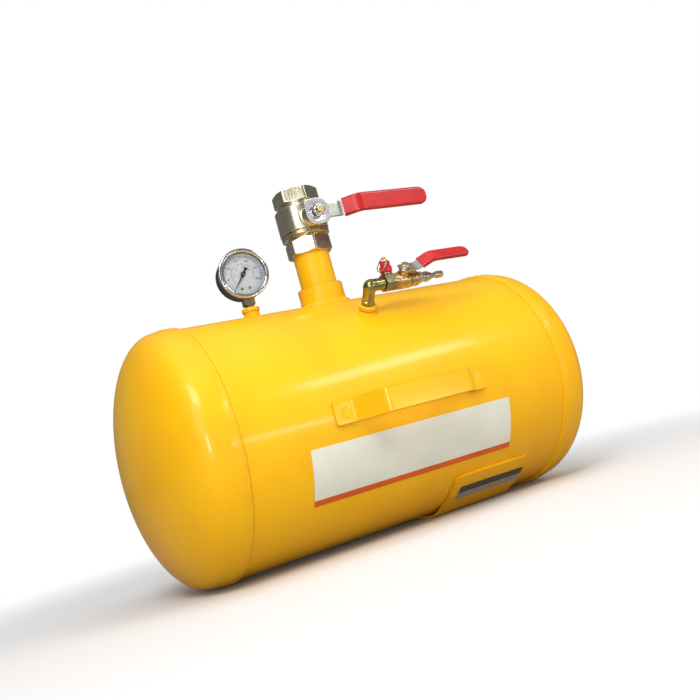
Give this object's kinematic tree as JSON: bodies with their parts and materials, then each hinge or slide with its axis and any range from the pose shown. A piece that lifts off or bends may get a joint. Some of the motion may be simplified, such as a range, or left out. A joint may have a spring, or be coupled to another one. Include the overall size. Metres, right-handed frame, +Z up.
{
  "type": "air receiver tank",
  "caption": "Portable cylindrical air tank on a saddle foot, with a top ball valve, a pressure gauge, a fill line with its own valve and safety valve, and a carry handle.",
  "frame": {"origin": "centre of the bounding box's base, on the floor", "axes": "+X along the tank's axis towards the end with the foot; +Z up along the outlet; -Y towards the carry handle"},
  "size_m": [0.61, 0.3462, 0.4633],
  "materials": {
    "tank_yellow_paint": "gloss enamel",
    "label_vinyl": "smooth vinyl, white with an orange lower edge",
    "data_plate_metal": "printed plate, bare",
    "valve_nickel": "nickel plated, bright",
    "ball_chrome": "polished",
    "seat_white": "smooth",
    "stem_brass": "machined",
    "fitting_brass": "aged, satin",
    "plated_steel": "zinc plated",
    "red_vinyl": "soft gloss",
    "case_black": "satin black",
    "bezel_chrome": "polished",
    "lens_clear": "clear",
    "dial_white": "matte print",
    "pointer_black": "matte"
  },
  "bodies": {
    "tank": {"shell": "tank_yellow_paint", "head_left": "tank_yellow_paint", "head_right": "tank_yellow_paint", "outlet_collar": "tank_yellow_paint", "outlet_pipe": "tank_yellow_paint", "gauge_bung": "tank_yellow_paint", "fill_bung": "tank_yellow_paint", "carry_handle": "tank_yellow_paint", "saddle_foot": "tank_yellow_paint", "front_label": "label_vinyl", "data_plate": "data_plate_metal", "valve_body": "valve_nickel", "valve_end_cap": "valve_nickel", "valve_seat_outer": "seat_white", "valve_seat_inner": "seat_white", "stem_packing": "seat_white", "packing_nut": "plated_steel", "gauge_case": "case_black", "gauge_bezel": "bezel_chrome", "gauge_lens": "lens_clear", "gauge_dial": "dial_white", "dial_screw_left": "stem_brass", "dial_screw_right": "stem_brass", "gauge_socket": "fitting_brass", "gauge_movement": "stem_brass", "bourdon_tube": "stem_brass", "fill_elbow": "fitting_brass", "fill_tee": "fitting_brass", "fill_valve_body": "fitting_brass", "fill_valve_end": "fitting_brass", "fill_seat_left": "seat_white", "fill_seat_right": "seat_white", "fill_packing_nut": "fitting_brass", "quick_plug": "plated_steel", "safety_body": "fitting_brass", "safety_cap": "red_vinyl", "safety_spring": "plated_steel"},
    "main_valve_lever": {"main_lever": "plated_steel", "main_lever_sleeve": "red_vinyl", "lever_nut": "plated_steel", "valve_stem": "stem_brass", "valve_ball": "ball_chrome"},
    "fill_valve_lever": {"fill_lever": "plated_steel", "fill_lever_sleeve": "red_vinyl", "fill_lever_nut": "plated_steel", "fill_valve_stem": "stem_brass", "fill_valve_ball": "ball_chrome"},
    "gauge_sector": {"gauge_sector": "stem_brass"},
    "gauge_pointer": {"gauge_pointer": "pointer_black", "pointer_shaft": "stem_brass"},
    "safety_stem": {"safety_stem": "stem_brass"},
    "pull_ring": {"pull_ring": "plated_steel"}
  },
  "joints": [
    {"name": "main_valve_turn", "type": "hinge", "parent": "tank", "child": "main_valve_lever", "pos_m": [-0.0033, 0.02045, 0.4188], "axis": [0, -1, 0], "range_deg": [0, 90]},
    {"name": "fill_valve_turn", "type": "hinge", "parent": "tank", "child": "fill_valve_lever", "pos_m": [0.0435, -0.09814, 0.29463], "axis": [0, 0.788, -0.6157], "range_deg": [0, 90]},
    {"name": "sector_swing", "type": "hinge", "parent": "tank", "child": "gauge_sector", "pos_m": [-0.1085, 0.02045, 0.347], "axis": [-0.1392, -0.9903, 0], "range_deg": [0, 45], "stiffness_Nm_per_rad": 0.005, "springref_deg": -2.86},
    {"name": "pointer_turn", "type": "hinge", "parent": "tank", "child": "gauge_pointer", "pos_m": [-0.1085, 0.02045, 0.3598], "axis": [-0.1392, -0.9903, 0], "range_deg": [-270, 0]},
    {"name": "safety_pull", "type": "slide", "parent": "tank", "child": "safety_stem", "axis": [0, -0.1736, 0.9848], "range_m": [0, 0.002], "stiffness_N_per_m": 900, "springref_m": -0.004, "deforming": ["safety_spring"]},
    {"name": "ring_swing", "type": "hinge", "parent": "safety_stem", "child": "pull_ring", "pos_m": [0.024, -0.10339, 0.32438], "axis": [0, 0.9848, 0.1736], "range_deg": [0, 150]}
  ],
  "couplings": [
    {"joint": "pointer_turn", "follows": "sector_swing", "ratio": -5.944}
  ]
}
